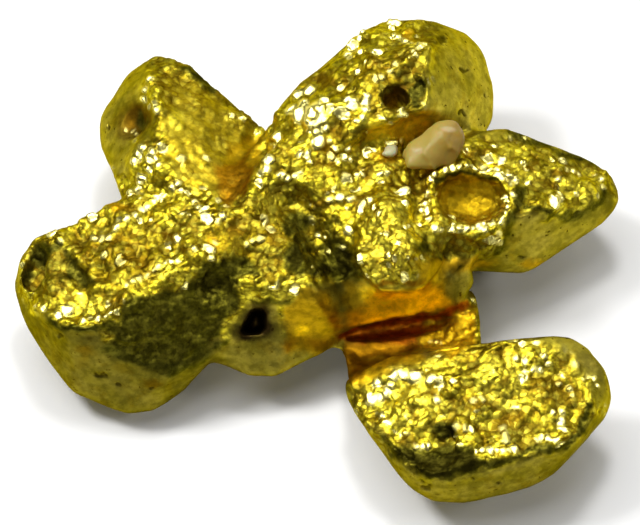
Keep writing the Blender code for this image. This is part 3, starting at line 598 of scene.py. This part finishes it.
def look_weight(spots, look):
    """How far each spot belongs to a look, in 0..1."""
    weight = np.zeros(len(spots))
    for across, up, wide, high in look.patches:
        reach = np.sqrt(((spots[:, 0] - across) / wide) ** 2 + ((spots[:, 1] - up) / high) ** 2)
        weight = np.maximum(weight, 1 - smoothstep(reach, *PATCH_EDGE))
    for half_width, line in look.lines:
        reach = line_distance(spots, line) / half_width
        weight = np.maximum(weight, 1 - smoothstep(reach, *LINE_EDGE))
    for outline in look.outlines:
        weight = np.maximum(weight, smoothstep(inside_depth(spots, outline), -OUTLINE_EDGE, OUTLINE_EDGE))
    return weight


def facing_light(name):
    """The way a small facet faces when it mirrors a light to someone in front of the specimen."""
    way = np.array(LIGHTS[name].way)
    middle = OUTWARD + way / np.linalg.norm(way)
    return middle / np.linalg.norm(middle)


def row_middles():
    """For each bead of the rows: its radius, its place and three random numbers."""
    seed = 0
    for radius, line in BEAD_ROWS:
        corners = np.array(line, float)
        steps = [corners[:1]]
        for a, b in zip(corners, corners[1:]):
            count = max(1, round(np.linalg.norm(b - a) / (ROW_SPACING * radius)))
            steps.append(a + (b - a) * (np.arange(1, count + 1) / count)[:, None])
        for middle in np.concatenate(steps):
            seed += 1
            chance = hashed(np.array([(seed, 3 * seed, 7)]), ROW_SEED)[0]
            yield radius * (0.75 + 0.5 * chance[0]), middle + (chance[1:] - 0.5) * ROW_STRAY * radius, chance


def bead_rows(points, spots, shown):
    """The beads in rows: how far they move each point outward, in mm, and how far it lies on a facet."""
    lift = np.zeros(len(spots))
    shine = np.zeros(len(spots))
    for size, middle, chance in row_middles():
        near = np.flatnonzero((np.abs(spots - middle).max(axis=1) < size) & shown)
        if not len(near):
            continue
        reach = np.linalg.norm(spots[near] - middle, axis=1) / size
        way = facing_light("key" if chance[1] < KEY_LIT_ROWS else "overhead")
        middle_point = points[near[np.argmin(reach)]]
        tilt = (middle_point - points[near]) @ way / (OUTWARD @ way)
        weight = 1 - smoothstep(reach, 0.6, 1.0)
        lift[near] = np.maximum(lift[near], 0) * (1 - weight)
        most = ROW_FACET_LIFT * size
        lift[near] += weight * (np.clip(tilt, -most, most) + (0.25 - 0.15 * reach ** 2) * size)
        shine[near] = np.maximum(shine[near], 1 - smoothstep(reach, 0.6, 0.95))
    return lift, shine


def mesh_arrays(mesh):
    """A mesh's points in mm, and its surface's directions there."""
    points = np.empty(len(mesh.vertices) * 3)
    mesh.vertices.foreach_get("co", points)
    normals = np.empty(len(mesh.vertices) * 3)
    mesh.vertices.foreach_get("normal", normals)
    return points.reshape(-1, 3) / MM, normals.reshape(-1, 3)


def set_points(mesh, points):
    mesh.vertices.foreach_set("co", (points * MM).ravel())
    mesh.update()


def store(mesh, name, values):
    """Keeps one value a point on the mesh, for its material."""
    layer = mesh.attributes.new(name, "FLOAT", "POINT")
    layer.data.foreach_set("value", values.astype(np.float32))


def add_smoothing(obj, passes):
    smoothing = obj.modifiers.new("smoothing", "SMOOTH")
    smoothing.factor = 0.5
    smoothing.iterations = passes


def settle(obj):
    """Makes the modifiers' result the object's own mesh."""
    bpy.context.view_layer.update()
    graph = bpy.context.evaluated_depsgraph_get()
    mesh = bpy.data.meshes.new_from_object(obj.evaluated_get(graph))
    obj.modifiers.clear()
    obj.data = mesh


def skin_of(node, name, passes):
    """A fine even skin over a copy of a CAD node's mesh."""
    obj = bpy.data.objects.new(name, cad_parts[node].data.copy())
    scene.collection.objects.link(obj)
    skin = obj.modifiers.new("skin", "REMESH")
    skin.mode = "VOXEL"
    skin.voxel_size = SKIN_VOXEL * MM
    add_smoothing(obj, passes)
    settle(obj)
    return obj


def bead_field(points, normals, beads, sparkling):
    """Round-topped beads, some with a facet that mirrors a light: most where sparkling is 1, none where 0."""
    reach, chance, offset = grains(points, beads.size, beads.seed)
    dome = np.clip(1 - (reach / BEAD_REACH) ** 2, 0, 1)
    along = offset - (offset * normals).sum(axis=1)[:, None] * normals
    lean = (chance - 0.5) * FACET_LEAN
    way = np.where(chance[:, 2:] < 0.5, facing_light("key"), facing_light("overhead")) + lean
    facet = smoothstep(dome, *FACET_START) * (chance[:, 1] < beads.sparkle * sparkling)
    tilt = -(along * way).sum(axis=1) / np.maximum((normals * way).sum(axis=1), LEAST_COSINE)
    most = FACET_LIFT * beads.size
    return BeadField(dome, beads.least + beads.added * chance[:, 0], facet, np.clip(tilt, -most, most))


def etched_relief(points, normals, satin, dull):
    """The etched faces: their height in mm, and how far a point lies on a bright facet and in a hollow."""
    swell = layered_noise(points, ETCHED_SWELL)
    warp = np.stack([layered_noise(points, layers) for layers in BEAD_WARP], axis=1)
    calm = smoothstep(value_noise(points, *CALM_PLACES), 0.0, 0.5)
    beady = 1 - 0.7 * np.maximum(satin, calm)
    sparkling = (1 - 0.7 * calm) * (1 - dull)
    large = bead_field(points + warp, normals, LARGE_BEADS, sparkling)
    fine = bead_field(points + 0.5 * warp, normals, FINE_BEADS, sparkling)
    height = swell * (1 - 0.6 * satin) + beady * (large.dome * large.height - LARGE_BEADS.least)
    height += fine.dome * fine.height * (1 - 0.4 * satin)
    height += large.facet * (large.tilt - 0.025 * beady * large.dome)
    height += fine.facet * (1 - large.facet) * fine.tilt
    bare = (1 - large.dome) * (1 - 0.8 * fine.dome)
    gap = smoothstep(bare, 0.35, 0.8) * (0.4 + 0.6 * beady) * (1 - 0.6 * satin)
    low = smoothstep(-swell, 0.0, 0.12)
    return height, np.maximum(large.facet, fine.facet), np.clip(0.75 * gap + 0.5 * low, 0, 1)


def roughness_and_painted_face_light(points, spots, ragged, shown, facing):
    """How far each point is etched rough, in 0..1, and the painted light of the worn metal there."""
    smooth = np.zeros(len(points))
    tone = np.full(len(points), PAINTED_WORN_LIGHT)
    for face in SMOOTH_FACES.values():
        inside = inside_depth(spots + ragged, face.outline)
        smooth = np.maximum(smooth, smoothstep(inside, -face.edge, face.edge))
        tone += (face.tone - tone) * smoothstep(inside_depth(spots, face.outline), -0.5, 0.1) * facing
    rough = (1 - smooth) * smoothstep(shown + layered_noise(points, ROUGH_LIMIT), 0.0, 0.35)
    rough_behind = 0.3 * smoothstep(value_noise(points, *ROUGH_BEHIND), 0.2, 0.6) * (1 - facing)
    return np.maximum(rough, rough_behind), tone


def gold_skin():
    """The gold's visible surface, with one stored value a point for each thing its material has to know."""
    obj = skin_of("gold_crystal_group", "gold_surface", GOLD_WEAR)
    points, normals = mesh_arrays(obj.data)
    spots = face_spots(points)
    ragged = np.stack([layered_noise(points, layers) for layers in (RAGGED_ACROSS, RAGGED_UP)], axis=1)
    shown = normals @ OUTWARD
    facing = smoothstep(shown, -0.2, 0.2)
    rough, tone = roughness_and_painted_face_light(points, spots, ragged, shown, facing)
    weights = {name: look_weight(spots + ragged, look) * facing for name, look in LOOKS.items()}
    dull = np.max([look.dull * weights[name] for name, look in LOOKS.items()], axis=0)
    # Where bounced light and shade are painted, the relief is flattened and no hollows are shaded.
    stained = np.max([weights[name] for name, look in LOOKS.items() if look.stained], axis=0)

    height, shine, hollow = etched_relief(points, normals, weights["satin"], dull)
    height *= 1 - 0.6 * stained
    hollow *= 1 - stained
    worn_height = layered_noise(points, WORN_SWELL) - SPECK_DEPTH * weights["speck"]
    relief = rough * (height - ETCHED_DEPTH) + (1 - rough) * worn_height
    moved = points + normals * relief[:, None]
    lift, row_shine = bead_rows(moved, spots + 0.5 * ragged, facing > ROWS_SHOWN)
    moved += lift[:, None] * OUTWARD
    low, high = (np.array(corner) / MM for corner in cad_box)
    set_points(obj.data, np.clip(moved, low, high))

    store(obj.data, "rough", rough)
    # hollow: where the material paints shade, between beads and in low places.
    store(obj.data, "hollow", hollow * rough)
    store(obj.data, "tone", tone)
    # shine: where the material paints a highlight colour and is smoother, on facets turned to a light.
    store(obj.data, "shine", np.maximum(shine * rough, row_shine))
    store(obj.data, "dull", np.maximum(dull * rough, np.maximum(weights["brown"], weights["umber"])))
    for name, weight in weights.items():
        store(obj.data, name, weight)
    add_smoothing(obj, 1)
    obj.data.calc_loop_triangles()
    fewer = obj.modifiers.new("fewer", "DECIMATE")
    fewer.ratio = GOLD_TRIANGLES / len(obj.data.loop_triangles)
    settle(obj)
    obj.data.shade_smooth()
    return obj


class Graph:
    """A short way to write node trees."""

    def __init__(self, tree):
        self.tree = tree

    def add(self, kind, inputs=(), **settings):
        node = self.tree.nodes.new(kind)
        for key, value in settings.items():
            setattr(node, key, value)
        for key, value in dict(inputs).items():
            self.feed(node.inputs[key], value)
        return node

    def feed(self, socket, value):
        if isinstance(value, bpy.types.NodeSocket):
            self.tree.links.new(value, socket)
        else:
            socket.default_value = value

    def math(self, operation, a, b):
        return self.add("ShaderNodeMath", {0: a, 1: b}, operation=operation).outputs[0]

    def vector(self, operation, a, b):
        return self.add("ShaderNodeVectorMath", {0: a, 1: b}, operation=operation).outputs[0]

    def mix(self, share, a, b, blend="MIX"):
        """Goes from colour a to colour b; each is a socket or (red, green, blue)."""
        node = self.add("ShaderNodeMix", data_type="RGBA", blend_type=blend)
        self.feed(node.inputs[0], share)
        for socket, colour in ((node.inputs[6], a), (node.inputs[7], b)):
            self.feed(socket, colour if isinstance(colour, bpy.types.NodeSocket) else (*colour, 1))
        return node.outputs[2]

    def blend(self, share, a, b):
        """Goes from number a to number b."""
        return self.add("ShaderNodeMix", {0: share, 2: a, 3: b}, data_type="FLOAT").outputs[0]

    def ramp(self, value, low, high, to_low=0.0, to_high=1.0):
        node = self.add("ShaderNodeMapRange", {0: value, 1: low, 2: high, 3: to_low, 4: to_high})
        node.interpolation_type = "SMOOTHSTEP"
        return node.outputs[0]

    def attribute(self, name, output="Fac"):
        return self.add("ShaderNodeAttribute", attribute_name=name).outputs[output]

    def place(self):
        return self.add("ShaderNodeTexCoord").outputs["Object"]

    def noise(self, scale, detail=2.0, rough=0.5):
        inputs = {"Vector": self.place(), "Scale": scale, "Detail": detail, "Roughness": rough}
        return self.add("ShaderNodeTexNoise", inputs).outputs["Fac"]

    def beads(self, scale, warp):
        """Beads in the texture: each one's slope as a height in metres, how far off its middle is, in sizes,
        and a random number."""
        inputs = {"Vector": self.place(), "Scale": 0.6 * scale, "Detail": 1.0}
        wobble = self.add("ShaderNodeTexNoise", inputs).outputs["Color"]
        wobble = self.vector("SUBTRACT", wobble, (0.5, 0.5, 0.5))
        place = self.vector("ADD", self.place(), self.vector("MULTIPLY", wobble, (warp, warp, warp)))
        cell = self.add("ShaderNodeTexVoronoi", {"Vector": place, "Scale": scale}, feature="F1")
        offset = self.vector("SUBTRACT", place, cell.outputs["Position"])
        lean = self.vector("SUBTRACT", cell.outputs["Color"], (0.5, 0.5, 0.5))
        slope = self.add("ShaderNodeVectorMath", {0: offset, 1: lean}, operation="DOT_PRODUCT")
        chance = self.add("ShaderNodeSeparateColor", {0: cell.outputs["Color"]}).outputs[0]
        return slope.outputs["Value"], cell.outputs["Distance"], chance


def new_material(name, settings):
    """A new material, its node tree and its shader."""
    made = bpy.data.materials.new(name)
    made.use_nodes = True
    g = Graph(made.node_tree)
    shader = made.node_tree.nodes["Principled BSDF"]
    for key, value in settings.items():
        g.feed(shader.inputs[key], value)
    return made, g, shader


def add_looks(g, colour, looks):
    """Lays the looks over a colour, one after another."""
    for name, look in looks.items():
        tint = look.tint
        if look.specks:
            tint = g.mix(g.ramp(g.noise(3200, 3, 0.6), 0.42, 0.62), look.tint, look.specks)
        colour = g.mix(g.math("MULTIPLY", g.attribute(name), look.share), colour, tint)
    return colour


def gold_colour(g, rough, glint, beaded, distance, chance):
    """The metal's colour, from its films and stains through painted shade and bounced light to painted
    glints.
    """
    etched = g.mix(g.ramp(g.noise(1400, 3), 0.35, 0.65), *ETCHED_GOLD)
    etched = g.mix(g.ramp(g.noise(700, 3, 0.6), 0.5, 0.6, 0.0, 0.6), etched, ETCHED_FILM)
    worn = g.mix(g.ramp(g.noise(900, 4), 0.35, 0.7), *WORN_GOLD)
    worn = g.mix(g.ramp(g.noise(1500, 4, 0.65), 0.5, 0.66, 0.0, 0.5), worn, WORN_FILM)
    # Painted light and shade: each worn face made brighter or darker for how light falls on it.
    worn = g.mix(1.0, worn, g.attribute("tone", "Color"), "MULTIPLY")
    worn = g.mix(g.ramp(g.noise(4500, 2), 0.66, 0.72), worn, WORN_PORES)
    colour = add_looks(g, g.mix(rough, worn, etched), BEADED_LOOKS)
    # Painted shade: darker brown in the hollows between beads and in low places.
    colour = g.mix(g.math("MULTIPLY", g.attribute("hollow"), 0.8), colour, HOLLOW_SHADE)
    colour = g.mix(g.math("MULTIPLY", g.ramp(chance, 0.55, 0.8, 0.0, 0.3), beaded), colour, LIT_BEADS)
    colour = g.mix(g.math("MULTIPLY", g.ramp(chance, 0.4, 0.1, 0.0, 0.4), beaded), colour, DIM_BEADS)
    # Painted shade in the gaps between the texture's beads.
    colour = g.mix(g.math("MULTIPLY", g.ramp(distance, 0.4, 0.65, 0.0, 0.5), beaded), colour, BEAD_GAP_SHADE)
    # Painted bounced light and shade in hollows and crevices, with real specks and stains.
    colour = add_looks(g, colour, SHADE_BOUNCE_AND_STAINS)
    mottle = g.ramp(g.noise(3500, 3, 0.6), 0.35, 0.65, 0.75, 1.2)
    colour = g.mix(1.0, colour, mottle, "MULTIPLY")
    # Painted highlight on the facets that mirror a light.
    return g.mix(glint, colour, GLINTS)


def gold_material():
    """Native gold: its colours, how rough it is, and the bump of beads too small for the mesh."""
    made, g, shader = new_material("native_gold", GOLD_SHADER)
    rough = g.attribute("rough")
    shine = g.attribute("shine")
    dull = g.attribute("dull")
    slope, distance, chance = g.beads(BEAD_SCALE, BEAD_WOBBLE)
    calm = g.math("MAXIMUM", g.attribute("satin"), CALM_LEAST)
    calm = g.math("MULTIPLY", calm, g.ramp(g.noise(1100, 2), 0.42, 0.58))
    beady = g.ramp(calm, 0.0, 1.0, 1.0, CALM_BEADS)
    glint = g.math("MULTIPLY", shine, g.ramp(dull, 0.0, 1.0, 1.0, 0.4))
    colour = gold_colour(g, rough, glint, g.math("MULTIPLY", beady, rough), distance, chance)
    g.feed(shader.inputs["Base Color"], colour)

    etched = g.ramp(g.noise(9000, 2), 0.3, 0.7, *ETCHED_ROUGHNESS)
    worn = g.ramp(g.noise(2500, 3), 0.3, 0.7, *WORN_ROUGHNESS)
    roughness = g.blend(shine, g.blend(rough, worn, etched), GLINT_ROUGHNESS)
    g.feed(shader.inputs["Roughness"], g.math("ADD", roughness, g.math("MULTIPLY", dull, DULL_ROUGHNESS)))

    leaning = g.math("MULTIPLY", slope, BEAD_SLOPE)
    dome = g.math("MULTIPLY", g.math("MULTIPLY", distance, distance), BEAD_DOME)
    grain = g.math("MULTIPLY", g.noise(9000, 4, 0.65), GRAIN_HEIGHT)
    height = g.math("ADD", g.math("ADD", leaning, dome), grain)
    strength = g.ramp(rough, 0.0, 1.0, WORN_BUMP, ETCHED_BUMP)
    strength = g.math("MULTIPLY", strength, g.ramp(shine, 0.0, 1.0, 1.0, 0.4))
    strength = g.math("MULTIPLY", strength, g.ramp(dull, 0.0, 1.0, 1.0, 0.7))
    strength = g.math("MULTIPLY", strength, beady)
    bump = g.add("ShaderNodeBump", {"Height": height, "Distance": 1.0, "Strength": strength})
    g.feed(shader.inputs["Normal"], bump.outputs[0])
    return made


def quartz_material(name, colour, deep):
    """Cloudy quartz that turns to its deep colour towards its right."""
    made, g, shader = new_material(name, QUARTZ_SHADER)
    paler = tuple(min(1, c * QUARTZ_PALER) for c in colour)
    stone = g.mix(g.ramp(g.noise(900, 3), 0.35, 0.7), colour, paler)
    stone = g.mix(g.attribute("deep"), stone, deep)
    # Painted highlight: a pale spot where the light catches the large grain.
    g.feed(shader.inputs["Base Color"], g.mix(g.attribute("painted_highlight"), stone, QUARTZ_HIGHLIGHT_COLOUR))
    g.feed(shader.inputs["Roughness"], g.ramp(g.noise(3000, 2), 0.3, 0.7, *QUARTZ_ROUGHNESS))
    bump = g.add("ShaderNodeBump", {"Height": g.noise(5000, 3), "Distance": 0.00004, "Strength": 0.4})
    g.feed(shader.inputs["Normal"], bump.outputs[0])
    return made


def quartz_skin(node, name, colour, deep):
    """A quartz grain's visible surface: blunt broken faces, drawn in at QUARTZ_WAIST."""
    obj = skin_of(node, name, QUARTZ_WEAR)
    points, normals = mesh_arrays(obj.data)
    spots = face_spots(points)
    _, chance, offset = grains(points, BREAK_SIZE, BREAK_SEED)
    broken = np.clip((offset * (chance - 0.5)).sum(axis=1) * BREAK_STEEPNESS, -BREAK_LIFT, BREAK_LIFT)
    waist = 1 - smoothstep(np.hypot(*(spots - QUARTZ_WAIST).T), *WAIST_EDGE)
    relief = QUARTZ_GROWTH + broken + layered_noise(points, QUARTZ_SWELL) - WAIST_DEPTH * waist
    set_points(obj.data, points + normals * relief[:, None])
    store(obj.data, "deep", smoothstep(spots[:, 0] - 0.5 * spots[:, 1], *DEEP_EDGE))
    # Painted highlight on the large grain.
    painted_highlight = np.hypot(*((spots - HIGHLIGHT_SPOT) / HIGHLIGHT_HALF_SIZE).T)
    store(obj.data, "painted_highlight", HIGHLIGHT_SHARE * (1 - smoothstep(painted_highlight, 0.5, 1.2)))
    add_smoothing(obj, QUARTZ_SOFTENING)
    settle(obj)
    obj.data.shade_smooth()
    obj.data.materials.clear()
    obj.data.materials.append(quartz_material(name + "_stone", colour, deep))
    return obj


def floor():
    mesh = bpy.data.meshes.new("floor")
    form = bmesh.new()
    bmesh.ops.create_circle(form, cap_ends=True, segments=64, radius=FLOOR_RADIUS)
    form.to_mesh(mesh)
    form.free()
    obj = bpy.data.objects.new("floor", mesh)
    scene.collection.objects.link(obj)
    mesh.materials.append(new_material("pale_floor", FLOOR_SHADER)[0])


def round_light(name, light):
    """A round soft light, aimed at the specimen."""
    data = bpy.data.lights.new(name, "AREA")
    data.shape = "DISK"
    data.size = light.width
    data.energy = light.radiance * math.pi * math.pi * light.width * light.width / 4
    obj = bpy.data.objects.new(name, data)
    way = Vector(light.way).normalized()
    obj.location = way * light.distance + LIGHTS_CENTRE
    obj.rotation_euler = way.to_track_quat("Z", "Y").to_euler()
    scene.collection.objects.link(obj)


def surroundings():
    """Even light from all sides, which shows as near white behind the floor."""
    world = bpy.data.worlds.new("studio")
    scene.world = world
    world.use_nodes = True
    g = Graph(world.node_tree)
    seen = g.add("ShaderNodeLightPath").outputs["Is Camera Ray"]
    strength = g.ramp(seen, 0.0, 1.0, AMBIENT, BACKDROP)
    g.feed(world.node_tree.nodes["Background"].inputs["Strength"], strength)


def camera():
    data = bpy.data.cameras.new("camera")
    data.sensor_width = SENSOR_WIDTH
    data.lens = SENSOR_WIDTH * EYE_DISTANCE / (VIEW_WIDTH * MM)
    data.clip_start = 0.01
    data.clip_end = 20.0
    obj = bpy.data.objects.new("camera", data)
    across, up = VIEW_MIDDLE
    along_table = (up - VIEW_HEIGHT * math.cos(FACE_ELEVATION)) / math.sin(FACE_ELEVATION)
    aim = FACE_ORIGIN + np.array((across, along_table, VIEW_HEIGHT))
    back = Vector(OUTWARD)
    obj.location = Vector(aim * MM) + back * EYE_DISTANCE
    obj.rotation_euler = back.to_track_quat("Z", "Y").to_euler()
    scene.collection.objects.link(obj)
    scene.camera = obj


gold = gold_skin()
gold.data.materials.clear()
gold.data.materials.append(gold_material())
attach(gold, "root")
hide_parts("gold_crystal_group")

quartz_large = quartz_skin("quartz_grain_large", "quartz_large_surface", *LARGE_QUARTZ)
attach(quartz_large, "root")
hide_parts("quartz_grain_large")

quartz_small = quartz_skin("quartz_grain_small", "quartz_small_surface", *SMALL_QUARTZ)
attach(quartz_small, "root")
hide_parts("quartz_grain_small")

floor()
for light_name, light in LIGHTS.items():
    round_light(light_name, light)
surroundings()
camera()
scene.view_settings.view_transform = "Standard"
